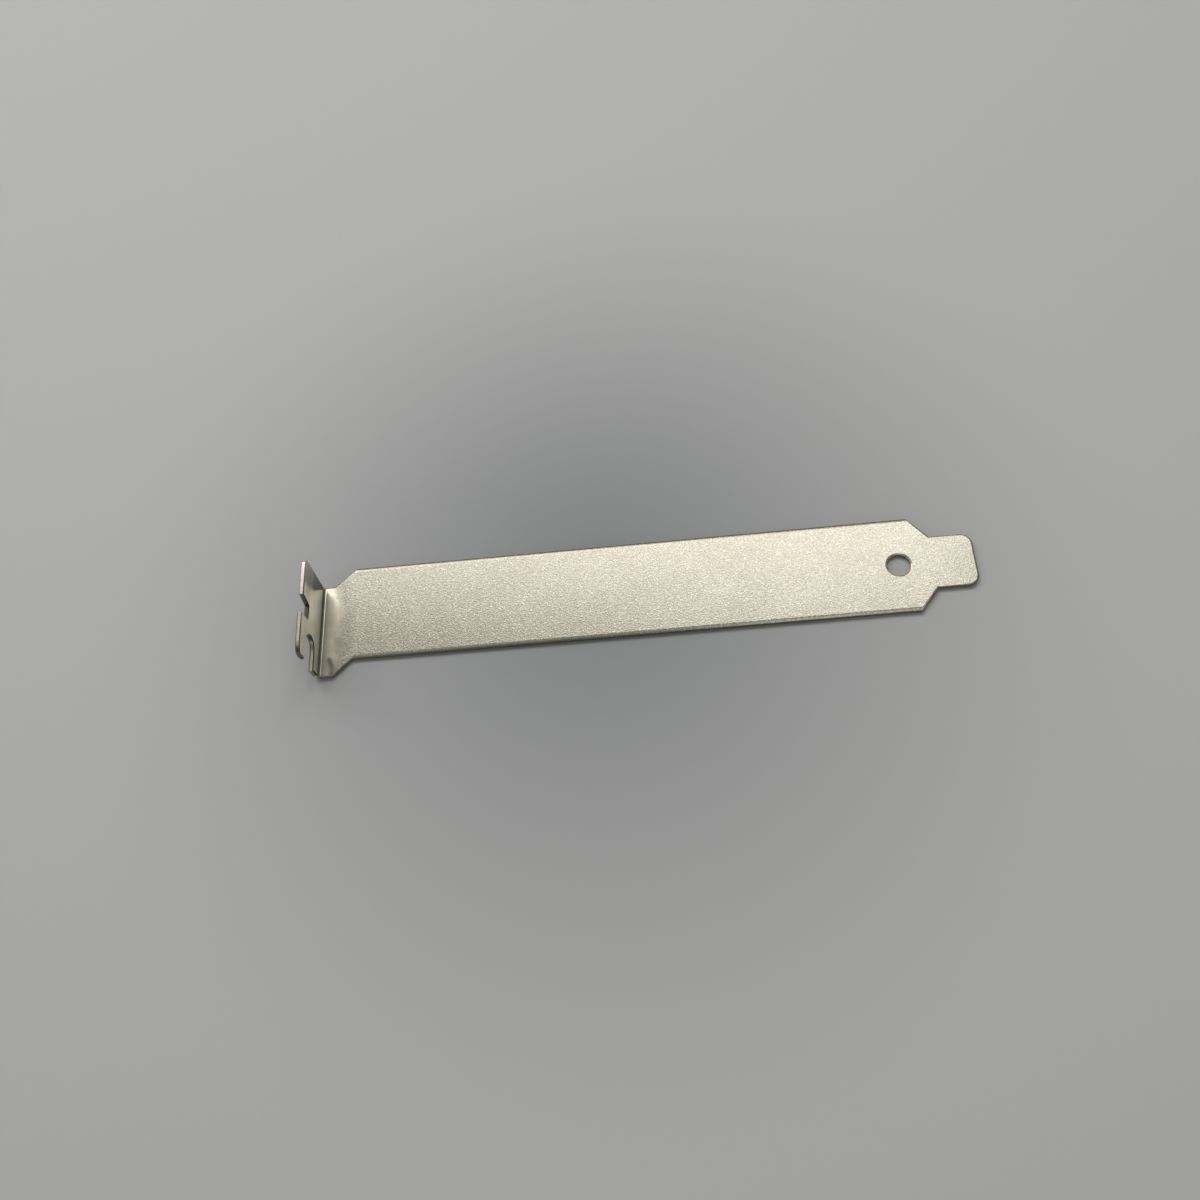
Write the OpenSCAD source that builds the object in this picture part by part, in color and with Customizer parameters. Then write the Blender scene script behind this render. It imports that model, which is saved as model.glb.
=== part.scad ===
// Blanking cover for one expansion slot at the back of a computer case.
// It is a single strip of plated sheet steel: a long plate, a tongue at one end
// that drops into the case, and a screw flange folded up at the other end.
// The part lies on the back of its plate, with the flange standing up.
// Every cut edge has a soft shoulder on its upper side. It is wide along the two long
// edges, where the strip is slit from the coil, and narrow where a punch cuts it.
// In the modules below X runs from the flange to the tongue, Y runs across the
// strip from the near long edge, and Z is up from the face the plate lies on.

/* [Sheet] */
// Thickness of the steel sheet
sheet_t = 0.86; // [0.7:0.02:1.1]
// Inside radius of the fold
fold_r = 0.4; // [0.2:0.1:0.8]
// Width of the soft shoulder along the plate's two long edges
slit_w = 0.7; // [0.3:0.05:0.8]
// Depth of the soft shoulder along the plate's two long edges
slit_d = 0.2; // [0.1:0.02:0.24]
// Width of the soft shoulder along every edge that a punch cuts
punched_w = 0.3; // [0.2:0.05:0.4]
// Depth of the soft shoulder along every edge that a punch cuts
punched_d = 0.12; // [0.08:0.02:0.18]

/* [Plate] */
// Length over all, from the flange's outside to the tongue's tip
overall_l = 120.02; // [110:0.01:130]
// Width of the plate
plate_w = 18.42; // [16:0.01:21]
// Length of the corners cut off beside the tongue, along the plate
tongue_cut_l = 3.57; // [2:0.01:6]

/* [Tongue] */
// Length of the tongue
tongue_l = 7.27; // [5:0.01:10]
// Width of the tongue
tongue_w = 10.19; // [8:0.01:12]
// Radius of the tongue's two outer corners
tongue_r = 2; // [1:0.1:3]

/* [Hole] */
// Diameter of the round hole
hole_d = 4.2; // [3:0.1:5]
// Distance from the hole's centre to the tongue's tip
hole_to_tip = 13.45; // [12.5:0.01:18]

/* [Neck] */
// How far the neck stands out past the plate's near edge
neck_out = 3.17; // [2:0.01:4]
// How far the neck is set in from the plate's far edge
neck_in = 3.5; // [2:0.01:5]
// Straight length of the neck at its near edge, from the flange's outside
neck_near_l = 3.42; // [2.8:0.01:5]
// Straight length of the neck at its far edge, from the flange's outside
neck_far_l = 2.85; // [2.5:0.01:5]
// Length of the slant from the neck out to the plate, at the near edge
near_slant_l = 3.38; // [2:0.01:6]
// Length of the slant from the neck out to the plate, at the far edge
far_slant_l = 4.03; // [2:0.01:6]

/* [Flange] */
// Height of the flange, from the face the plate lies on
flange_h = 11.43; // [10.5:0.01:14]
// Width of the flange over all
flange_w = 19.05; // [18.5:0.01:20]
// Radius of the flange's far corner
far_corner_r = 1; // [0.5:0.1:2]
// Upright length of the flange's far edge, before and after it flares out
flare_start = 0.3; // [0.2:0.1:1]
// Radius of the flange's near corner, over the screw slot
near_corner_r = 2.4; // [1:0.1:2.6]
// How far the near corner stands back from the neck's near edge
near_corner_back = 0.5; // [0.1:0.1:1]

/* [Screw slot] */
// Width of the screw slot
slot_w = 4.42; // [3.5:0.01:4.8]
// Height of the slot's centre line, from the face the plate lies on
slot_h = 6.35; // [5.5:0.01:6.5]
// Depth of the slot from the neck's near edge to its closed end
slot_depth = 5.85; // [5:0.01:7]

/* [Notch] */
// Depth of the notch in the flange's upper edge
notch_depth = 3.18; // [2:0.01:4]
// Width of the notch at its bottom
notch_w = 2.55; // [1.5:0.1:4]
// How much wider the notch is at its mouth, on the slanted side
notch_slant = 0.9; // [0.3:0.05:1.5]
// Distance from the slot's closed end to the notch's upright side
notch_gap = 2.57; // [2:0.01:4]

/* [Hidden] */
$fn = 72;
fold_out = fold_r + sheet_t;
neck_near_y = -neck_out;
neck_far_y = plate_w - neck_in;
shoulder_x = overall_l - tongue_l;
tongue_near_y = (plate_w - tongue_w) / 2;
tongue_far_y = tongue_near_y + tongue_w;
slot_end_y = neck_near_y + slot_depth;
notch_near_y = slot_end_y + notch_gap;
notch_far_y = notch_near_y + notch_w;
// width and depth of the two shoulders
slit = [slit_w, slit_d];
punched = [punched_w, punched_d];
// how far a cut stands out over the sheet's faces, and how far a through cut runs on
spare = 0.3;
run_on = 2 * overall_l;
// the flange's far edge leaves the fold upright, flares out, and ends upright again
flange_far_y = neck_near_y + flange_w;
flare_low = [neck_far_y, fold_out + flare_start];
flare_top = [flange_far_y, flange_h - far_corner_r - flare_start];
// corners of the plate, the neck and the tongue
near_slant_a = [neck_near_l, neck_near_y];
near_slant_b = [neck_near_l + near_slant_l, 0];
far_slant_a = [neck_far_l + far_slant_l, plate_w];
far_slant_b = [neck_far_l, neck_far_y];
near_cut_a = [shoulder_x - tongue_cut_l, 0];
near_cut_b = [shoulder_x, tongue_near_y];
far_cut_a = [shoulder_x, tongue_far_y];
far_cut_b = [shoulder_x - tongue_cut_l, plate_w];
// corners of the flange, as Y and height
notch_a = [notch_far_y + notch_slant, flange_h];
notch_b = [notch_far_y, flange_h - notch_depth];
arm_y = neck_near_y + near_corner_back;
slot_r = slot_w / 2;
slot_centre = [slot_end_y - slot_r, slot_h];

// ---- how the sheet is cut ----
// Section across a cut: the sheet that stays is on the right of x = 0, and what goes
// is on the left. The soft shoulder on the corner of the upper face is an arc that
// runs out flush with the face and meets the cut side.
module cut_section(soft = punched, reach = run_on) {
    r = (soft[0] * soft[0] + soft[1] * soft[1]) / (2 * soft[1]);
    translate([-reach, -spare]) square([reach, sheet_t + 2 * spare]);
    difference() {
        translate([-spare, sheet_t - r]) square([spare + soft[0], r + spare]);
        translate([soft[0], sheet_t - r]) circle(r);
    }
}

// Takes away what lies on the right hand of somebody who walks from a to b
module cut(a, b, soft = punched) {
    step = b - a;
    translate([a[0], a[1], 0]) rotate([90, 0, 90 + atan2(step[1], step[0])])
        linear_extrude(norm(step)) cut_section(soft);
}

// The same, but the cut runs on past a and past b
module through_cut(a, b, soft = punched) {
    past = (b - a) * run_on / norm(b - a);
    cut(a - past, b + past, soft);
}

// Two cuts that meet in an inside corner take away only what both of them cover
module inside_cut(a, b, c, soft_bc = punched) {
    intersection() {
        through_cut(a, b);
        through_cut(b, c, soft_bc);
    }
}

// Takes away what lies outside a rounded corner, from one angle to 90 degrees on
module corner_cut(centre, r, from) {
    translate([centre[0], centre[1], 0]) rotate([0, 0, from])
        rotate_extrude(angle = 90) translate([r, 0]) mirror([1, 0]) cut_section();
}

// Takes away a round opening, or the part of it from one angle on, as a ring with
// the section of the cut and a core that fills the ring
module bore_cut(centre, r, from = 0, angle = 360) {
    translate([centre[0], centre[1], 0]) {
        rotate([0, 0, from]) rotate_extrude(angle = angle)
            translate([r, 0]) cut_section(reach = r * 3 / 4);
        translate([0, 0, -spare]) cylinder(h = sheet_t + 2 * spare, r = r / 2);
    }
}

// ---- the plate with its neck and tongue ----
module neck_cuts() {
    through_cut([0, neck_near_y], near_slant_a);
    inside_cut(near_slant_a, near_slant_b, [overall_l, 0], slit);
    inside_cut(far_slant_a, far_slant_b, [0, neck_far_y]);
    through_cut([overall_l, plate_w], [0, plate_w], slit);
}

module tongue_cuts() {
    round_x = overall_l - tongue_r;
    near_round_y = tongue_near_y + tongue_r;
    far_round_y = tongue_far_y - tongue_r;
    intersection() {
        through_cut(near_cut_a, near_cut_b);
        cut([0, tongue_near_y], [round_x, tongue_near_y]);
    }
    intersection() {
        through_cut(far_cut_a, far_cut_b);
        cut([round_x, tongue_far_y], [0, tongue_far_y]);
    }
    cut([overall_l, near_round_y], [overall_l, far_round_y]);
    corner_cut([round_x, near_round_y], tongue_r, -90);
    corner_cut([round_x, far_round_y], tongue_r, 0);
}

module plate() {
    difference() {
        translate([fold_out, neck_near_y, 0])
            cube([overall_l - fold_out, plate_w + neck_out, sheet_t]);
        neck_cuts();
        tongue_cuts();
        bore_cut([overall_l - hole_to_tip, plate_w / 2], hole_d / 2);
    }
}

// ---- the fold ----
// A quarter turn of the strip between the plate and the flange
module fold() {
    translate([fold_out, 0, fold_out]) rotate([-90, 0, 0]) rotate([0, 0, 90])
        rotate_extrude(angle = 90) difference() {
            translate([fold_r, neck_near_y]) square([sheet_t, neck_far_y - neck_near_y]);
            translate([fold_out, neck_near_y]) rotate([0, 0, 90]) cut_section();
            translate([fold_out, neck_far_y]) mirror([0, 1]) rotate([0, 0, 90]) cut_section();
        }
}

// ---- the flange, drawn flat with its height along Y ----
module edge_cuts() {
    inside_cut([neck_far_y, 0], flare_low, flare_top);
    cut([flange_far_y, 0], [flange_far_y, flange_h - far_corner_r]);
    corner_cut([flange_far_y - far_corner_r, flange_h - far_corner_r], far_corner_r, 0);
    cut([flange_far_y - far_corner_r, flange_h], [arm_y + near_corner_r, flange_h]);
    corner_cut([arm_y + near_corner_r, flange_h - near_corner_r], near_corner_r, 90);
    cut([arm_y, flange_h - near_corner_r], [arm_y, slot_h]);
    through_cut([neck_near_y, flange_h], [neck_near_y, 0]);
}

module notch_cut() {
    intersection() {
        through_cut(notch_a, notch_b);
        through_cut(notch_b, [notch_near_y, notch_b[1]]);
        through_cut([notch_near_y, notch_b[1]], [notch_near_y, flange_h]);
    }
}

module slot_cut() {
    intersection() {
        cut([-run_on, slot_h + slot_r], [slot_centre[0], slot_h + slot_r]);
        cut([slot_centre[0], slot_h - slot_r], [-run_on, slot_h - slot_r]);
    }
    bore_cut(slot_centre, slot_r, from = -90, angle = 180);
}

module flange() {
    rotate([90, 0, 90]) difference() {
        translate([neck_near_y, fold_out, 0])
            cube([flange_w, flange_h - fold_out, sheet_t]);
        edge_cuts();
        notch_cut();
        slot_cut();
    }
}

// The whole cover, centred over the box that it fills
module slot_cover() {
    color([0.77, 0.74, 0.67])
        translate([-overall_l / 2, (neck_out - plate_w) / 2, 0]) {
            plate();
            fold();
            flange();
        }
}

slot_cover();
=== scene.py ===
# %% [markdown]
# # A slot cover for the back of a computer case
#
# The object is a blanking cover: a strip of plated sheet steel that closes an
# unused slot at the back of a computer. It is cut out of a flat sheet, pierced and
# folded up at one end. This lesson makes it in the same order: flat blank,
# thickness, holes, soft edges, fold. Then come the metal, the table, the light and
# the camera.
#
# Its box says where the finished piece has to lie.

# %% Load the frame
import math

import bmesh
import bpy
from mathutils import Matrix, Vector


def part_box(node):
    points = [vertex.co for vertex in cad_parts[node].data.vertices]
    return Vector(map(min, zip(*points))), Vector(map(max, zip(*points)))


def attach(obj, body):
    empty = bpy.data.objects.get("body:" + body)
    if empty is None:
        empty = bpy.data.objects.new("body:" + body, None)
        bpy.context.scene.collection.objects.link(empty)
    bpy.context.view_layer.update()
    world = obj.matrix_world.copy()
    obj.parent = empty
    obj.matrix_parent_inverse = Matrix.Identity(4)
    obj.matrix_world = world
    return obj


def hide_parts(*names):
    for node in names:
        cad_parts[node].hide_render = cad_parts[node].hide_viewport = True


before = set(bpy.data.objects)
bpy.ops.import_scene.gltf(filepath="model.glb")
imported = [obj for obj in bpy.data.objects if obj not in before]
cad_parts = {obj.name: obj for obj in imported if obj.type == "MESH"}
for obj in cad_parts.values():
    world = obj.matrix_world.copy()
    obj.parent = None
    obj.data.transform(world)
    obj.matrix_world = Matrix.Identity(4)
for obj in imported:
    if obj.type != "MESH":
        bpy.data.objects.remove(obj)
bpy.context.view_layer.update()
low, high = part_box("slot_cover")
print("The cover's box, in mm:", [round(side * 1000, 2) for side in high - low])

# %% [markdown]
# ## Sizes
# Everything is measured in millimetres and multiplied by one thousandth, because
# the scene is in metres. The ends, the sides and the top come from the frame, so
# that this piece lies exactly where the construction model lies. X runs along the
# plate from the flange to the tongue, Y runs across it, and Z is up.

# %% Sizes
MM = 0.001
SHEET = 0.86 * MM
FOLD_RADIUS = 0.4 * MM

PLATE_FAR = high.y
PLATE_NEAR = PLATE_FAR - 18.42 * MM
PLATE_MIDDLE = (PLATE_FAR + PLATE_NEAR) / 2
NECK_NEAR = low.y
NECK_FAR = PLATE_FAR - 3.5 * MM
TONGUE_TIP = high.x
TONGUE_ROOT = TONGUE_TIP - 7.27 * MM
FOLD_START = low.x + FOLD_RADIUS + SHEET

# The middle of the sheet keeps its length when the strip is folded.
FOLD_LENGTH = math.pi / 2 * (FOLD_RADIUS + SHEET / 2)
FLANGE_START = FOLD_START - FOLD_LENGTH
FLANGE_TOP = FLANGE_START - (high.z - FOLD_RADIUS - SHEET)
FLANGE_FAR = NECK_NEAR + 19.05 * MM
print("Length of the flat blank, in mm:", round((TONGUE_TIP - FLANGE_TOP) / MM, 2))

# %% [markdown]
# ## The flat blank
# The strip is drawn flat, as it lies in the press. It could be a list of corners
# joined into one face, but a list is hard to change and easy to get wrong. So it
# starts as a plane for the straight part of the plate, and its two ends are
# extruded station by station afterwards.
#
# In the window one clicks on a vertex to select it. A script picks it by its place
# instead, with a small test that says which points are wanted.

# %% The plate's straight part
NEAR_ENOUGH = 0.001 * MM


def along(distance):
    """Place along the plate, from a distance in mm from the flange's outside."""
    return low.x + distance * MM


def select_vertices(wanted):
    """Selects the vertices whose place passes the test, and the edges between them."""
    bpy.ops.mesh.select_mode(type="VERT")
    bpy.ops.mesh.select_all(action="DESELECT")
    mesh = bmesh.from_edit_mesh(bpy.context.object.data)
    for vertex in mesh.verts:
        vertex.select = wanted(vertex.co)
    mesh.select_flush(True)
    bmesh.update_edit_mesh(bpy.context.object.data)


def move_vertex(start, end):
    """Moves the vertex at one place in the plane to another."""
    select_vertices(lambda co: (co.xy - Vector(start)).length < NEAR_ENOUGH)
    step = Vector(end) - Vector(start)
    bpy.ops.transform.translate(value=(step.x, step.y, 0))


near_corner = (along(6.8), PLATE_NEAR)
far_corner = (along(6.88), PLATE_FAR)
tongue_side = along(109.18)

bpy.ops.object.select_all(action="DESELECT")
bpy.ops.mesh.primitive_plane_add(size=1)
cover = bpy.context.object
cover.name = cover.data.name = "folded_cover"
bpy.ops.object.mode_set(mode="EDIT")
bpy.ops.transform.resize(value=(tongue_side - near_corner[0], PLATE_FAR - PLATE_NEAR, 1))
bpy.ops.transform.translate(value=((tongue_side + near_corner[0]) / 2, PLATE_MIDDLE, 0))
move_vertex((near_corner[0], PLATE_FAR), far_corner)
print("Straight part of the plate, in mm:", round((tongue_side - near_corner[0]) / MM, 2))

# %% [markdown]
# ## The tongue
# The tongue drops into a gap at the bottom of the case. It is narrower than the
# plate, and the plate's corners are cut off beside it. Each change of width is one
# station: the edge at the end is extruded, and its two new corners are moved to
# where they belong. A second plane joined on would do too, but extruding keeps the
# whole outline in one mesh, with no doubled points to merge.

# %% The tongue
TONGUE_HALF = 10.19 * MM / 2
TONGUE_NEAR = PLATE_MIDDLE - TONGUE_HALF
TONGUE_FAR = PLATE_MIDDLE + TONGUE_HALF


def extend(near_start, far_start, near_end, far_end):
    """Extrudes the edge between two corners and puts its new ends at two places."""
    ends = (Vector(near_start), Vector(far_start))
    select_vertices(lambda co: min((co.xy - end).length for end in ends) < NEAR_ENOUGH)
    away = Vector(near_end) - Vector(near_start)
    bpy.ops.mesh.extrude_region_move(TRANSFORM_OT_translate={"value": (away.x, 0, 0)})
    move_vertex((near_start[0] + away.x, near_start[1]), near_end)
    move_vertex((far_start[0] + away.x, far_start[1]), far_end)
    return near_end, far_end


station = ((tongue_side, PLATE_NEAR), (tongue_side, PLATE_FAR))
station = extend(*station, (TONGUE_ROOT, TONGUE_NEAR), (TONGUE_ROOT, TONGUE_FAR))
station = extend(*station, (TONGUE_TIP, TONGUE_NEAR), (TONGUE_TIP, TONGUE_FAR))
print("Tongue, in mm:", round((TONGUE_TIP - TONGUE_ROOT) / MM, 2), "long")

# %% [markdown]
# ## The neck and the flange
# The flange is the part that a screw holds to the case. It is still flat here, so a
# height on the folded cover becomes a distance from the fold. Its far edge flares
# out a little towards the top, and over the screw slot its near edge stands back a
# little, which makes two more stations. The slot is pierced later and takes away
# the short step between them.

# %% The neck and the flange
FLARE_LOW = 1.56 * MM
FLARE_HIGH = 10.13 * MM
SLOT_HEIGHT = 6.35 * MM
STEP_HALF = 0.1 * MM
ARM_NEAR = NECK_NEAR + 0.5 * MM


def flat_x(height):
    """Place on the flat strip of what ends up at a height on the flange."""
    return FLANGE_START - (height - FOLD_RADIUS - SHEET)


def flare_y(height):
    """The far edge of the flange at a height."""
    share = (height - FLARE_LOW) / (FLARE_HIGH - FLARE_LOW)
    return NECK_FAR + (FLANGE_FAR - NECK_FAR) * min(max(share, 0), 1)


station = (near_corner, far_corner)
station = extend(*station, (along(3.42), NECK_NEAR), (along(2.85), NECK_FAR))
station = extend(*station, (FOLD_START, NECK_NEAR), (FOLD_START, NECK_FAR))
station = extend(*station, (FLANGE_START, NECK_NEAR), (FLANGE_START, NECK_FAR))
for height, near_y in (
    (FLARE_LOW, NECK_NEAR),
    (SLOT_HEIGHT - STEP_HALF, NECK_NEAR),
    (SLOT_HEIGHT + STEP_HALF, ARM_NEAR),
    (FLARE_HIGH, ARM_NEAR),
    (high.z, ARM_NEAR),
):
    station = extend(*station, (flat_x(height), near_y), (flat_x(height), flare_y(height)))
print("Flange, in mm:", round((FLANGE_FAR - NECK_NEAR) / MM, 2), "wide")

# %% [markdown]
# ## Round corners
# The tongue has two round corners, so that it finds its gap, and the flange has two,
# one larger than the other, where a hand would touch it. They could be drawn as arcs
# from the start, but a vertex bevel in the plane turns a finished corner into an arc
# of any radius. The outline is then cleaned by dissolving the inner edges, because a
# thick blank needs one clean face.

# %% Round the corners that the press tool rounds
TONGUE_RADIUS = 2.0 * MM
FAR_CORNER_RADIUS = 1.0 * MM
NEAR_CORNER_RADIUS = 2.4 * MM


def round_corner(corner, radius, steps=14):
    """Turns one corner of the flat strip into an arc."""
    select_vertices(lambda co: (co.xy - Vector(corner)).length < NEAR_ENOUGH)
    bpy.ops.mesh.bevel(
        offset_type="OFFSET", offset=radius, segments=steps, affect="VERTICES", clamp_overlap=False
    )


round_corner((TONGUE_TIP, TONGUE_NEAR), TONGUE_RADIUS)
round_corner((TONGUE_TIP, TONGUE_FAR), TONGUE_RADIUS)
round_corner((FLANGE_TOP, FLANGE_FAR), FAR_CORNER_RADIUS)
round_corner((FLANGE_TOP, ARM_NEAR), NEAR_CORNER_RADIUS, steps=20)
bpy.ops.mesh.select_all(action="SELECT")
bpy.ops.mesh.dissolve_limited(angle_limit=math.radians(0.1))
print("Corners of the flat outline:", len(cover.data.vertices))

# %% [markdown]
# ## Thickness, and the shoulder that the press leaves
# Where a blade enters a sheet it drags the metal down, so the edge on its side is
# soft, and wider than it is deep: 0.75 mm by 0.28 mm along the plate's two long
# edges. Blender's bevel is as wide as it is deep. So the blank is made too thick by
# the ratio of the two, bevelled, and squeezed back to its real thickness later,
# which turns the round bevel into the flat ellipse of the real edge.

# %% Thickness
SHOULDER_WIDTH = 0.75 * MM
SHOULDER_DEPTH = 0.28 * MM
STRETCH = SHOULDER_WIDTH / SHOULDER_DEPTH

bpy.ops.mesh.select_all(action="SELECT")
bpy.ops.mesh.extrude_region_move(TRANSFORM_OT_translate={"value": (0, 0, SHEET * STRETCH)})
bpy.ops.mesh.select_all(action="SELECT")
bpy.ops.mesh.normals_make_consistent(inside=False)
bpy.ops.object.mode_set(mode="OBJECT")
print("The blank is stretched in height by", round(STRETCH, 2))

# %% [markdown]
# ## The round hole
# The hole near the tongue holds nothing in the case. Such strips are hung by it for
# plating, or located by it in the press. It is pierced before the edges are
# softened, so that its rim gets a shoulder too. A Boolean modifier with a cylinder
# as its cutter is the plainest way, and the exact solver keeps the mesh closed.

# %% Pierce the round hole
CIRCLE_STEPS = 72
CUTTER_HEIGHT = 8 * MM
HOLE_X = along(106.57)
HOLE_RADIUS = 2.1 * MM


def pierce(cutter):
    """Takes the cutter away from the cover and deletes it."""
    piercing = cover.modifiers.new("pierce", "BOOLEAN")
    piercing.operation = "DIFFERENCE"
    piercing.solver = "EXACT"
    piercing.object = cutter
    bpy.ops.object.select_all(action="DESELECT")
    bpy.context.view_layer.objects.active = cover
    cover.select_set(True)
    bpy.ops.object.modifier_apply(modifier=piercing.name)
    bpy.data.objects.remove(cutter)
    print("Vertices after piercing:", len(cover.data.vertices))


bpy.ops.object.select_all(action="DESELECT")
bpy.ops.mesh.primitive_cylinder_add(
    vertices=CIRCLE_STEPS,
    radius=HOLE_RADIUS,
    depth=CUTTER_HEIGHT,
    location=(HOLE_X, PLATE_MIDDLE, 0),
)
pierce(bpy.context.object)

# %% [markdown]
# ## The screw slot
# The screw slides into the flange from the near side, so the slot is open there and
# round at its closed end. A cylinder and a cube could be taken away one after the
# other, but their meeting line can leave stray points in the slot's walls. One
# cutter does it cleanly: a bisect keeps the half of a cylinder that makes the closed
# end, and the cut face is extruded out past the flange's near edge.

# %% Pierce the screw slot
SLOT_RADIUS = 2.21 * MM
SLOT_CLOSED_END = NECK_NEAR + 5.85 * MM
SLOT_OVERRUN = 8 * MM
slot_centre_y = SLOT_CLOSED_END - SLOT_RADIUS

bpy.ops.object.select_all(action="DESELECT")
bpy.ops.mesh.primitive_cylinder_add(
    vertices=CIRCLE_STEPS,
    radius=SLOT_RADIUS,
    depth=CUTTER_HEIGHT,
    location=(flat_x(SLOT_HEIGHT), slot_centre_y, 0),
)
slot_cutter = bpy.context.object
bpy.ops.object.mode_set(mode="EDIT")
bpy.ops.mesh.select_all(action="SELECT")
bpy.ops.mesh.bisect(
    plane_co=(0, slot_centre_y, 0),
    plane_no=(0, 1, 0),
    use_fill=True,
    clear_inner=True,
)
bpy.ops.mesh.extrude_region_move(TRANSFORM_OT_translate={"value": (0, -SLOT_OVERRUN, 0)})
bpy.ops.object.mode_set(mode="OBJECT")
pierce(slot_cutter)

# %% [markdown]
# ## The notch
# The notch in the flange's upper edge has one upright side and one slanted side. It
# could be two more corners of the outline at each station, but a cutter is easier to
# change. It is a cube that runs on past the edge. Outside the edge, its far side is
# moved away to slant it, by more than the notch widens, because the cutter is longer
# than the notch is deep.

# %% Pierce the notch
NOTCH_NEAR = SLOT_CLOSED_END + 2.57 * MM
NOTCH_WIDTH = 2.55 * MM
NOTCH_DEPTH = 3.18 * MM
NOTCH_SLANT = 0.9 * MM
NOTCH_OVERRUN = 1 * MM
notch_length = NOTCH_DEPTH + NOTCH_OVERRUN
notch_bottom = flat_x(high.z - NOTCH_DEPTH)
notch_middle = (notch_bottom - notch_length / 2, NOTCH_NEAR + NOTCH_WIDTH / 2, 0)

bpy.ops.object.select_all(action="DESELECT")
bpy.ops.mesh.primitive_cube_add(size=1)
notch_cutter = bpy.context.object
bpy.ops.object.mode_set(mode="EDIT")
bpy.ops.transform.resize(value=(notch_length, NOTCH_WIDTH, CUTTER_HEIGHT))
bpy.ops.transform.translate(value=notch_middle)
select_vertices(lambda co: co.x < notch_bottom - NEAR_ENOUGH and co.y > NOTCH_NEAR + NEAR_ENOUGH)
bpy.ops.transform.translate(value=(0, NOTCH_SLANT * notch_length / NOTCH_DEPTH, 0))
bpy.ops.object.mode_set(mode="OBJECT")
pierce(notch_cutter)

# %% [markdown]
# ## Which rims get how much
# The shoulder is wide along the plate's two long edges and narrow round every edge
# that a punch has cut. Two bevels, one after the other, would have to meet at the
# corners. The Bevel modifier can do both at once: it multiplies its width by each
# edge's own weight, and blends the two widths where they meet. The weights are set
# in edit mode, on the sharp edges at the upper face's height.

# %% Give the rims their weights
PUNCHED_WIDTH = 0.32 * MM


def select_rim(height, wanted=lambda middle: True, steepness=math.radians(60)):
    """Selects the sharp edges at one height of the blank whose middle passes a test."""
    bpy.ops.mesh.select_mode(type="EDGE")
    bpy.ops.mesh.select_all(action="DESELECT")
    mesh = bmesh.from_edit_mesh(cover.data)
    for edge in mesh.edges:
        level = all(abs(vertex.co.z - height) < NEAR_ENOUGH for vertex in edge.verts)
        sharp = edge.calc_face_angle(0) > steepness
        middle = (edge.verts[0].co + edge.verts[1].co) / 2
        edge.select = level and sharp and wanted(middle)
    bmesh.update_edit_mesh(cover.data)
    return sum(edge.select for edge in mesh.edges)


def on_long_edge(middle):
    """Tells whether a point of the rim lies on one of the plate's two long edges."""
    return min(abs(middle.y - PLATE_NEAR), abs(middle.y - PLATE_FAR)) < NEAR_ENOUGH


bpy.ops.object.mode_set(mode="EDIT")
print("Edges of the rim:", select_rim(SHEET * STRETCH))
bpy.ops.transform.edge_bevelweight(value=PUNCHED_WIDTH / SHOULDER_WIDTH)
print("Long edges:", select_rim(SHEET * STRETCH, wanted=on_long_edge))
bpy.ops.transform.edge_bevelweight(value=1)
bpy.ops.object.mode_set(mode="OBJECT")

# %% [markdown]
# ## The soft shoulder
# The real shoulder is flatter than a quarter of an ellipse and closer to a slope. In
# the Bevel modifier a profile of one half is round and one of a quarter is a plain
# slope, so a value between the two gives it. The modifier is applied at once,
# because the squeeze comes after it.

# %% Soften the edges on the punch side
shoulder = cover.modifiers.new("shoulder", "BEVEL")
shoulder.limit_method = "WEIGHT"
shoulder.offset_type = "OFFSET"
shoulder.width = SHOULDER_WIDTH
shoulder.segments = 8
shoulder.profile = 0.38
shoulder.use_clamp_overlap = False
bpy.ops.object.modifier_apply(modifier=shoulder.name)
print("Vertices after softening:", len(cover.data.vertices))

# %% [markdown]
# ## Back to the real thickness
# The blank is squeezed towards the face it lies on, which is at height zero, so
# that face stays where it is. The burr on the other side of a cut is tumbled off
# before the plating, and what is left there is a small even round, which needs no
# stretching.

# %% Squeeze the blank, and take the edge off the other side
BACK_RADIUS = 0.2 * MM

bpy.ops.object.mode_set(mode="EDIT")
bpy.ops.mesh.select_all(action="SELECT")
bpy.ops.transform.resize(value=(1, 1, 1 / STRETCH), center_override=(0, 0, 0))
select_rim(0)
bpy.ops.mesh.bevel(
    offset_type="OFFSET", offset=BACK_RADIUS, segments=4, affect="EDGES", clamp_overlap=False
)
print("Vertices with both sides softened:", len(cover.data.vertices))

# %% [markdown]
# ## The fold
# The strip could be modelled folded from the start, but then each cut and each soft
# edge would have to go round the fold by hand. Folding a finished blank, as the
# press does, keeps them all right. A deforming modifier needs something to fold
# along, so the strip is first cut across at short steps where it will bend.

# %% Cut the strip across where it folds
FOLD_STEPS = 16

for step in range(FOLD_STEPS + 1):
    bpy.ops.mesh.select_all(action="SELECT")
    bpy.ops.mesh.bisect(
        plane_co=(FOLD_START - FOLD_LENGTH * step / FOLD_STEPS, 0, 0), plane_no=(1, 0, 0)
    )
bpy.ops.object.mode_set(mode="OBJECT")
print("Vertices with the fold's cuts:", len(cover.data.vertices))

# %% [markdown]
# ## Remember the depth in the sheet
# A cut edge is bright in one band and dark in another, and the metal's colour has to
# follow that all round the outline. Once the strip is folded, a point's height no
# longer tells how deep in the sheet it lies. So the depth is written down now, in an
# attribute of the mesh: 0 on the back and 1 on the upper face.

# %% Keep the depth in an attribute
depth = cover.data.attributes.new("depth", "FLOAT", "POINT")
for vertex, kept in zip(cover.data.vertices, depth.data):
    kept.value = vertex.co.z / SHEET
print("Depth kept for", len(depth.data), "vertices")

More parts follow.
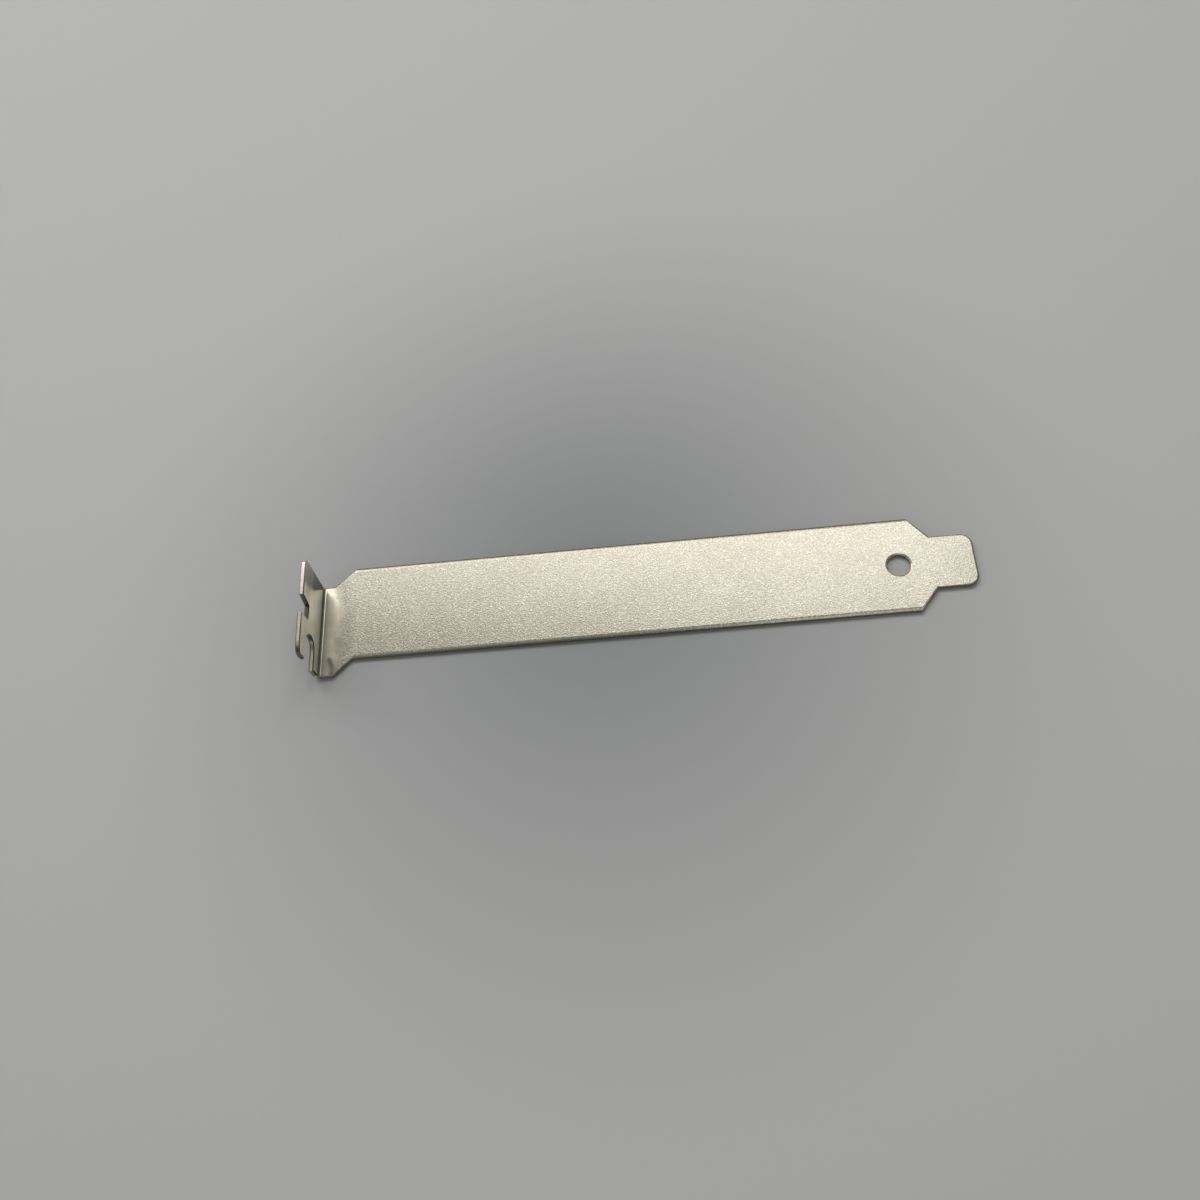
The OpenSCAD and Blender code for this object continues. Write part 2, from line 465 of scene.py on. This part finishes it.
# %% [markdown]
# ## Fold the flange up
# The Simple Deform modifier bends along its own X axis, round the Z axis of an
# object that is given as its origin. An empty at the start of the fold, turned so
# that its Z axis runs across the strip, puts the bend where the press has it. The
# limits are shares of the strip's length, counted from the tongue's tip. Between
# them the strip bends by a quarter turn, and past them it stays flat.

# %% Fold the flange up
plate_length = TONGUE_TIP - FOLD_START
strip_length = TONGUE_TIP - FLANGE_TOP

bpy.ops.object.select_all(action="DESELECT")
bpy.ops.object.empty_add(
    location=(FOLD_START, 0, SHEET / 2), rotation=(math.pi / 2, 0, math.pi)
)
fold_tool = bpy.context.object
fold = cover.modifiers.new("fold", "SIMPLE_DEFORM")
fold.origin = fold_tool
fold.deform_method = "BEND"
fold.deform_axis = "Z"
fold.angle = math.pi / 2
fold.limits = (plate_length / strip_length, (plate_length + FOLD_LENGTH) / strip_length)
bpy.context.view_layer.update()
bpy.ops.object.select_all(action="DESELECT")
bpy.context.view_layer.objects.active = cover
cover.select_set(True)
bpy.ops.object.modifier_apply(modifier=fold.name)
bpy.data.objects.remove(fold_tool)
top = max(vertex.co.z for vertex in cover.data.vertices)
print("Height of the folded flange, in mm:", round(top / MM, 2))

# %% [markdown]
# ## Shading, and the piece's place in the part
# The wide faces are flat and the shoulders are round. Smooth shading by angle keeps
# the sharp corners sharp, and weighted normals let the wide faces decide, so that
# the shading doesn't swim over the flat plate. The piece then takes the place of
# the construction model's solid and rides on the same body.

# %% Smooth shading
bpy.ops.object.shade_smooth_by_angle(angle=math.radians(35))
shading = cover.modifiers.new("flat faces stay flat", "WEIGHTED_NORMAL")
shading.keep_sharp = True
bpy.ops.object.modifier_apply(modifier=shading.name)

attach(cover, "root")
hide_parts("slot_cover")
print("Faces of the finished piece:", len(cover.data.polygons))

# %% [markdown]
# ## Satin nickel
# The plating is a metal, so its colour is the colour of its reflections: a warm,
# slightly yellow grey. The material is a chain of small steps of arithmetic, and
# written out node by node it would fill pages. So five helpers come first. One adds
# a node to whichever tree the name `tree` stands for. The other four add a node of
# one kind and give back its output, and they are nested like the steps of a sum.

# %% The helpers that build a material
steel = bpy.data.materials.new("plated_steel")
steel.use_nodes = True
tree = steel.node_tree


def add_node(kind, inputs=(), **settings):
    """Adds a node to the tree; each input is a value or another node's output."""
    node = tree.nodes.new(kind)
    for name, value in settings.items():
        setattr(node, name, value)
    for socket, value in dict(inputs).items():
        if isinstance(value, bpy.types.NodeSocket):
            tree.links.new(value, node.inputs[socket])
        else:
            node.inputs[socket].default_value = value
    return node


def calculate(operation, *values):
    """One step of arithmetic."""
    return add_node("ShaderNodeMath", enumerate(values), operation=operation).outputs[0]


def fade(value, start, end, low_value=0.0, high_value=1.0):
    """Goes smoothly from one value to another while its input goes from start to end."""
    inputs = {"Value": value, "From Min": start, "From Max": end}
    inputs.update({"To Min": low_value, "To Max": high_value})
    return add_node("ShaderNodeMapRange", inputs, interpolation_type="SMOOTHSTEP").outputs[0]


def mix(share, first, second, kind="FLOAT"):
    """Goes from the first value to the second as the share goes from 0 to 1."""
    inputs = {"Factor": share, "A": first, "B": second}
    return add_node("ShaderNodeMix", inputs, data_type=kind).outputs["Result"]


def noise(size, detail, roughness=0.5):
    """Noise in the object's own coordinates, with features of about one size."""
    inputs = {"Vector": place, "Scale": 1 / size, "Detail": detail, "Roughness": roughness}
    return add_node("ShaderNodeTexNoise", inputs).outputs["Fac"]


place = add_node("ShaderNodeTexCoord").outputs["Object"]
x, y, z = add_node("ShaderNodeSeparateXYZ", {0: place}).outputs
print("The metal reads its place from:", place.name)

# %% [markdown]
# ## Where the press tool has rubbed the metal smooth
# The folding tool slides over the neck and burnishes it, so the sheet's grain ends
# in a curved line: it lies furthest from the fold in the middle of the neck and
# runs back towards its two sides. A parabola across the neck describes it. The
# value made here is the distance past that line.

# %% The line where the grain ends
RUBBED_MIDDLE = low.x + 5.0 * MM
RUBBED_BULGE = 18
neck_middle = (NECK_NEAR + NECK_FAR) / 2

from_middle = calculate("SUBTRACT", y, neck_middle)
bulge = calculate("MULTIPLY", calculate("MULTIPLY", from_middle, from_middle), RUBBED_BULGE)
past_rubbed = calculate("SUBTRACT", calculate("ADD", x, bulge), RUBBED_MIDDLE)
grainy = fade(past_rubbed, -0.9 * MM, 0.9 * MM)
print("The rubbed metal reaches", round((RUBBED_MIDDLE - low.x) / MM, 1), "mm from the end")

# %% [markdown]
# ## Painted shade in the fold and on the flange
# The fold's inside and the flange's foot get painted shade, where the plate and the flange face
# each other and mirror each other's shade, and the rest of the flange's tone is painted
# reflection. Roughness alone would only blur what the metal mirrors, so its colour is lowered
# instead, by a tone that follows the height. Just above the fold it drops fast and is lowest at a
# height of two millimetres. From there it gets lighter, and the crest at the top is lighter again.
# Towards the far side it is lower in the flange's lower half and higher in its upper half.

# %% Painted shade of the fold and the flange
# Painted shade: darker next to the fold, and on the flange darker at the foot and lighter higher
# up.
fold_painted_shade = fade(x, low.x + 0.8 * MM, low.x + 2.0 * MM, 0.72, 1.0)
on_flange = fade(z, 1.0 * MM, 1.25 * MM)
foot = fade(z, 1.2 * MM, 2.0 * MM, 0.9, 0.175)
higher = fade(z, 1.8 * MM, 6.8 * MM, 0.0, 0.27)
crest = fade(z, 9.3 * MM, 11.0 * MM, 0.0, 0.2)
far_side = calculate(
    "MULTIPLY",
    fade(y, neck_middle, NECK_FAR - 2 * MM),
    fade(z, 6.0 * MM, 8.0 * MM, -0.45, 0.3),
)
flange_painted_shade_and_reflection = calculate(
    "MULTIPLY",
    calculate("ADD", calculate("ADD", foot, higher), crest),
    calculate("ADD", far_side, 1.0),
)
fold_and_flange_painted_light = mix(on_flange, fold_painted_shade, flange_painted_shade_and_reflection)
print("Nodes so far:", len(tree.nodes))

# %% [markdown]
# ## The cut edges: where the rim ends and the wall starts
# Across a cut edge there are three bands: the soft rim under the upper face, the
# wall that the blade has sheared, and the small round at the back. Each could be
# given a material of its own by picking its faces, but the bands run into each
# other softly. The depth attribute tells them apart without a hard line. The rim is
# deeper along the long edges than round the flange, where the blade is a punch, so
# the depth is shifted on the flange before it is read.

# %% Bands of a cut edge
WALL_END = 0.66
RIM_START = 0.76
PUNCHED_SHIFT = 0.16

cut_depth = add_node("ShaderNodeAttribute", attribute_name="depth").outputs["Fac"]
under_rim = calculate("SUBTRACT", cut_depth, fade(on_flange, 0, 1, 0, PUNCHED_SHIFT))
not_back = fade(cut_depth, 0.18, 0.4)
rim = calculate("MULTIPLY", fade(cut_depth, 0.97, 0.9), fade(under_rim, WALL_END, RIM_START))
wall = calculate("MULTIPLY", fade(under_rim, RIM_START, WALL_END), not_back)
print("On the plate, the sheared wall ends at a height in mm of", round(WALL_END * SHEET / MM, 2))

# %% [markdown]
# ## The cut edges: painted highlight and shade on the walls
# On the plate the sheared walls are a little darker, partly for the torn metal and partly as
# painted shade. On the flange the top edge and the lower side of the screw slot, which face up,
# get a painted highlight, and the round corner, the slot's closed end and the notch get painted
# shade. Separate materials could tell them apart, but with a hard line between them. So each is
# picked out by a fade over its height or over its place across the flange.

# %% Painted highlight and shade of the walls
NOTCH_FAR = NOTCH_NEAR + NOTCH_WIDTH + NOTCH_SLANT

# Painted highlight on the slot's lower side, painted shade above it.
slot_painted_light = fade(z, SLOT_HEIGHT - 1.8 * MM, SLOT_HEIGHT - 1.0 * MM, 1.7, -0.55)
beside_notch = calculate(
    "ADD",
    fade(y, NOTCH_NEAR - 0.1 * MM, NOTCH_NEAR + 0.1 * MM, 1, 0),
    fade(y, NOTCH_FAR - 0.1 * MM, NOTCH_FAR + 0.2 * MM),
)
past_corner = fade(y, ARM_NEAR + 0.8 * MM, ARM_NEAR + 1.8 * MM)
# Painted highlight along the flange's top edge, but not at the round corner or the notch.
top_edge_painted_highlight = calculate(
    "MULTIPLY",
    fade(z, SLOT_HEIGHT + 2.0 * MM, SLOT_HEIGHT + 3.0 * MM, 0, 1.2),
    calculate("MULTIPLY", past_corner, beside_notch),
)
# On the plate the walls are a little darker, partly for the torn metal and partly as painted
# shade.
wall_tone_and_painted_light = mix(on_flange, -0.2, calculate("ADD", slot_painted_light, top_edge_painted_highlight))
wall_tone_and_painted_light_change = calculate("MULTIPLY", wall, wall_tone_and_painted_light)
print("Nodes so far:", len(tree.nodes))

# %% [markdown]
# ## The cut edges: the rims
# The soft rims get painted shade, a darker line along each cut edge, more on the plate than on the
# flange. Round the hole the rim is lighter instead, and the distance from the hole's centre finds
# it. The changes of rim and wall are added up into one tone.

# %% Tone and painted light and shade of the cut edges
hole_centre = (HOLE_X, PLATE_MIDDLE, SHEET)
from_hole = add_node(
    "ShaderNodeVectorMath", {0: place, 1: hole_centre}, operation="DISTANCE"
).outputs["Value"]
near_hole = fade(from_hole, 2.5 * MM, 2.8 * MM, 0.9, 0)
# Painted shade along the rims, lighter round the hole.
rim_shade_and_hole_rim = calculate(
    "MULTIPLY", rim, calculate("ADD", fade(on_flange, 0, 1, -0.4, -0.25), near_hole)
)
cut_edge_tone_and_painted_light = calculate("ADD", calculate("ADD", rim_shade_and_hole_rim, wall_tone_and_painted_light_change), 1.0)
print("Nodes so far:", len(tree.nodes))

# %% [markdown]
# ## The swell beside the fold
# The metal that the fold has squeezed swells up a little beside it. It is far too slight for the
# mesh, so its light and shade are painted instead: a painted highlight on the side towards the
# fold, strongest at the far end of the neck, and painted shade just past the line, where the grain
# begins. Both follow the distance past the rubbed metal's line, which is there already.

# %% Painted highlight and shade of the swell
# Painted highlight beside the fold, and painted shade just past the rubbed metal's line.
swell_highlight_band = calculate(
    "MULTIPLY",
    fade(past_rubbed, -3.6 * MM, -2.0 * MM),
    fade(past_rubbed, -1.3 * MM, -0.3 * MM, 1, 0),
)
swell_painted_highlight = calculate("MULTIPLY", swell_highlight_band, fade(y, neck_middle, NECK_FAR, 0.1, 0.7))
swell_painted_shade = calculate(
    "MULTIPLY",
    fade(past_rubbed, -0.4 * MM, 0.6 * MM),
    fade(past_rubbed, 0.6 * MM, 2.8 * MM, -0.13, 0),
)
swell_painted_light = calculate("ADD", calculate("ADD", swell_painted_highlight, swell_painted_shade), 1.0)
print("Nodes so far:", len(tree.nodes))

# %% [markdown]
# ## Grain
# The sheet under the plating is not polished. Seen close, it has two grains: soft specks of about
# a third of a millimetre, and the crystals of the steel, which are smaller and each have one tone.
# A few crystals also get a painted glint, as if they stood at the right angle to the light. An
# image could carry all this, but it would repeat or run out of detail. Noise makes the specks
# instead, a Voronoi pattern gives each crystal a number, and a high power of that number picks the
# few that get the painted glint. The rubbed metal has only a soft smear.

# %% Specks, crystals, painted glints and smears
SPECK_SIZE = 0.3 * MM
CRYSTAL_SIZE = 0.2 * MM
SMEAR_SIZE = 1.8 * MM
CLOUD_SIZE = 9 * MM

grain = noise(SPECK_SIZE, detail=3, roughness=0.6)
speck = fade(grain, 0.3, 0.7, 0.87, 1.09)
crystals = add_node("ShaderNodeTexVoronoi", {"Vector": place, "Scale": 1 / CRYSTAL_SIZE})
crystal = add_node("ShaderNodeSeparateXYZ", {0: crystals.outputs["Color"]}).outputs[0]
# Painted glints on a few crystals.
painted_glint = calculate("MULTIPLY", calculate("POWER", crystal, 8), 0.25)
crystal_tone_and_painted_glint = calculate("ADD", fade(crystal, 0, 1, 0.88, 1.04), painted_glint)
smear = fade(noise(SMEAR_SIZE, detail=3), 0.3, 0.7, 0.96, 1.11)
skin = mix(grainy, smear, calculate("MULTIPLY", speck, crystal_tone_and_painted_glint))
cloud = fade(noise(CLOUD_SIZE, detail=2), 0.3, 0.7, 0.965, 1.02)
print("Crystals to a millimetre:", round(MM / CRYSTAL_SIZE))

# %% [markdown]
# ## Putting the metal together
# All tones multiply one colour, which is a little less yellow on the flange, as a painted
# reflection of the greyer things that the flange mirrors. Among the tones are the painted shade,
# highlights and glints above. The grain also tips the surface by about a degree, and that is
# enough to break up what the metal mirrors. It is a bump, because it is far finer than any mesh.
# What is the same all over, such as being a metal, is set on the shader itself.

# %% Colour, roughness and bump
PLATE_COLOUR = (0.58, 0.55, 0.44, 1)
FLANGE_COLOUR_WITH_PAINTED_REFLECTION = (0.57, 0.545, 0.475, 1)
GRAIN_HEIGHT = 0.032 * MM

tone = cloud
for part in (skin, fold_and_flange_painted_light, cut_edge_tone_and_painted_light, swell_painted_light):
    tone = calculate("MULTIPLY", tone, part)
# The flange's colour is less yellow as a painted reflection.
colour = mix(on_flange, PLATE_COLOUR, FLANGE_COLOUR_WITH_PAINTED_REFLECTION, kind="RGBA")
toned = add_node("ShaderNodeVectorMath", {0: colour, "Scale": tone}, operation="SCALE")
relief = add_node(
    "ShaderNodeBump",
    {"Strength": fade(grainy, 0, 1, 0.15, 0.75), "Distance": GRAIN_HEIGHT, "Height": grain},
)
shader = tree.nodes["Principled BSDF"]
shader.inputs["Metallic"].default_value = 1
tree.links.new(toned.outputs[0], shader.inputs["Base Color"])
tree.links.new(fade(wall, 0, 1, 0.17, 0.24), shader.inputs["Roughness"])
tree.links.new(relief.outputs[0], shader.inputs["Normal"])
cover.data.materials.clear()
cover.data.materials.append(steel)
print("Nodes in the finished metal:", len(tree.nodes))

# %% [markdown]
# ## The table
# The cover lies on a plain pale table. The lamp stands behind it and its light is
# uneven, so the table is darker round the cover and paler further out. That could
# be done with more lamps, but the metal would mirror each of them. So the table's
# paint carries the unevenness: a round pool that fades outwards. The metal is
# finished, so the name `tree` moves on to the table's paint, and the helpers build
# there from now on.

# %% The table
POOL_MIDDLE = (-8 * MM, 5 * MM, 0)
POOL_COLOUR = (0.27, 0.289, 0.28, 1)
TABLE_COLOUR = (0.588, 0.593, 0.572, 1)

bpy.ops.object.select_all(action="DESELECT")
bpy.ops.mesh.primitive_plane_add(size=6)
floor = bpy.context.object
floor.name = "floor"
paint = bpy.data.materials.new("floor")
paint.use_nodes = True
tree = paint.node_tree
place = add_node("ShaderNodeTexCoord").outputs["Object"]
from_pool = add_node(
    "ShaderNodeVectorMath", {0: place, 1: POOL_MIDDLE}, operation="DISTANCE"
).outputs["Value"]
past_pool = fade(from_pool, -20 * MM, 105 * MM)
shade = mix(past_pool, POOL_COLOUR, TABLE_COLOUR, kind="RGBA")
matt = tree.nodes["Principled BSDF"]
matt.inputs["Roughness"].default_value = 0.6
tree.links.new(shade, matt.inputs["Base Color"])
floor.data.materials.append(paint)
print("Table:", floor.dimensions.x, "m wide")

# %% [markdown]
# ## The room
# A metal looks like what stands round it, so the room matters more than the lamps.
# The world could be one even grey, but then the plate, the fold and the edges would
# all have one tone. This room is dim in front and at the sides and lighter behind
# the lamp. One number does that: how far a direction points towards the lamp's
# side, from -1 to 1. A colour ramp turns it into a tone.

# %% The room's tones
LAMP_SIDE = (-0.35, 0.85, 0.35)
ROOM_TONES = (
    (0.0, (0.2, 0.2, 0.2, 1)),
    (0.34, (0.18, 0.18, 0.18, 1)),
    (0.5, (0.2, 0.2, 0.2, 1)),
    (0.65, (0.18, 0.18, 0.18, 1)),
    (0.8, (0.45, 0.45, 0.44, 1)),
    (1.0, (0.22, 0.22, 0.22, 1)),
)

world = bpy.data.worlds.new("studio")
bpy.context.scene.world = world
world.use_nodes = True
tree = world.node_tree
direction = add_node("ShaderNodeTexCoord").outputs["Generated"]
towards_lamp = add_node(
    "ShaderNodeVectorMath", {0: direction, 1: LAMP_SIDE}, operation="DOT_PRODUCT"
).outputs["Value"]
from_front = add_node("ShaderNodeMapRange", {"Value": towards_lamp, "From Min": -1}).outputs[0]
ramp = add_node("ShaderNodeValToRGB", {"Fac": from_front})
ramp.color_ramp.interpolation = "B_SPLINE"
for position, room_tone in ROOM_TONES[1:-1]:
    ramp.color_ramp.elements.new(position).color = room_tone
ramp.color_ramp.elements[0].color = ROOM_TONES[0][1]
ramp.color_ramp.elements[-1].color = ROOM_TONES[-1][1]
print("Tones of the room:", len(ramp.color_ramp.elements))

# %% [markdown]
# ## Pale walls in front
# Low down, the front of the room has pale walls. Seen from behind the cover they
# are the background, and the plate mirrors them and looks like steel there too.
# The camera's own view doesn't meet them, because the plate mirrors what is high
# up. They could be real walls, but those would throw shadows and get in the way of
# the lamps. Two fades say where they are: low enough, and far enough in front.

# %% Pale walls in front
ROOM_WALL_COLOUR = (0.52, 0.52, 0.51, 1)

way = add_node("ShaderNodeSeparateXYZ", {0: direction}).outputs
low_down = fade(way["Z"], 0.58, 0.3)
in_front = fade(way["Y"], -0.02, -0.3)
room_walls = calculate("MULTIPLY", low_down, in_front)
room_colour = mix(room_walls, ramp.outputs["Color"], ROOM_WALL_COLOUR, kind="RGBA")
tree.links.new(room_colour, tree.nodes["Background"].inputs["Color"])
print("Nodes in the room:", len(tree.nodes))

# %% [markdown]
# ## The softbox
# One large soft lamp stands behind the cover, where the plate mirrors it into the
# camera. A small bulb would be mirrored as one hard spot. This lamp is long and
# narrow and a little turned, so the plate is brightest at its far edge and falls off
# towards the near one. How bright the plate looks follows from the brightness of the
# lamp's face, so that is the value to set, and the lamp's power is worked out from it
# and the lamp's area.

# %% The softbox
LAMP_DISTANCE = 0.7
LAMP_WAY = Vector((-0.31, 0.632, 0.775))
LAMP_TURN = math.radians(-10.5)
LAMP_LENGTH = 1.5 * LAMP_DISTANCE
LAMP_WIDTH = 0.432 * LAMP_DISTANCE
LAMP_BRIGHTNESS = 1.37

bpy.ops.object.light_add(type="AREA", location=LAMP_WAY * LAMP_DISTANCE)
lamp = bpy.context.object
lamp.data.shape = "RECTANGLE"
lamp.data.color = (1.0, 0.98, 1.02)
lamp.data.size = LAMP_LENGTH
lamp.data.size_y = LAMP_WIDTH
lamp.data.energy = LAMP_BRIGHTNESS * math.pi * lamp.data.size * lamp.data.size_y
facing = Vector((0, -LAMP_WAY.y, -LAMP_WAY.z)).to_track_quat("-Z", "Y")
turn = Matrix.Rotation(LAMP_TURN, 4, "Z")
lamp.rotation_euler = (facing.to_matrix().to_4x4() @ turn).to_euler()
print("Power of the softbox, in W:", round(lamp.data.energy, 2))

# %% [markdown]
# ## More light for the table
# With a lamp that suits the metal, the matt table stays too dark. A second lamp in
# the same place, twice as strong, lights it and throws the same soft shadow. It is
# hidden from mirrored rays, and a metal has no others, so the cover doesn't change.

# %% A second lamp in the same place, for the table only
bpy.ops.object.duplicate()
table_lamp = bpy.context.object
table_lamp.data.energy = 2 * lamp.data.energy
table_lamp.visible_glossy = False
print("Power of the table's lamp, in W:", round(table_lamp.data.energy, 2))

# %% [markdown]
# ## A small light overhead
# The shoulder along the near edge is tilted towards the camera and mirrors what is
# overhead. A small light there draws a second, paler line beside the edge, which is
# what makes the shoulder read as a shoulder. It is hidden from matt surfaces, so
# that it throws no light on the table.

# %% A small light overhead, which the rolled edges mirror
OVERHEAD_BRIGHTNESS = 1.0

bpy.ops.object.light_add(type="AREA", location=(0.18, -0.05, 0.9))
overhead_lamp = bpy.context.object
overhead_lamp.data.shape = "SQUARE"
overhead_lamp.data.size = 0.24
overhead_lamp.data.energy = OVERHEAD_BRIGHTNESS * math.pi * overhead_lamp.data.size**2
overhead_lamp.visible_diffuse = False
overhead_lamp.rotation_euler = (-overhead_lamp.location).to_track_quat("-Z", "Y").to_euler()
print("Power of the small light, in W:", round(overhead_lamp.data.energy, 3))

# %% [markdown]
# ## The camera
# The cover is seen from above, two hands' breadths away, and from a little in front
# of its near edge. A constraint could aim the camera, but plain numbers for its place
# and its tilt give the same view each time. A camera leaves out what is nearer than a
# tenth of a metre, which is half of that distance, so its near limit comes down to a
# millimetre. The Standard view transform adds no film curve, so that colours look as
# they are written.

# %% The camera
bpy.ops.object.camera_add(
    location=(8.465 * MM, -87.667 * MM, 182.645 * MM),
    rotation=[math.radians(angle) for angle in (25.365, 6.1965, -2.5983)],
)
camera = bpy.context.object
camera.data.lens = 33.389
camera.data.clip_start = 1 * MM
bpy.context.scene.camera = camera
bpy.context.scene.view_settings.view_transform = "Standard"
print("Camera's distance from the cover, in mm:", round(camera.location.length / MM))
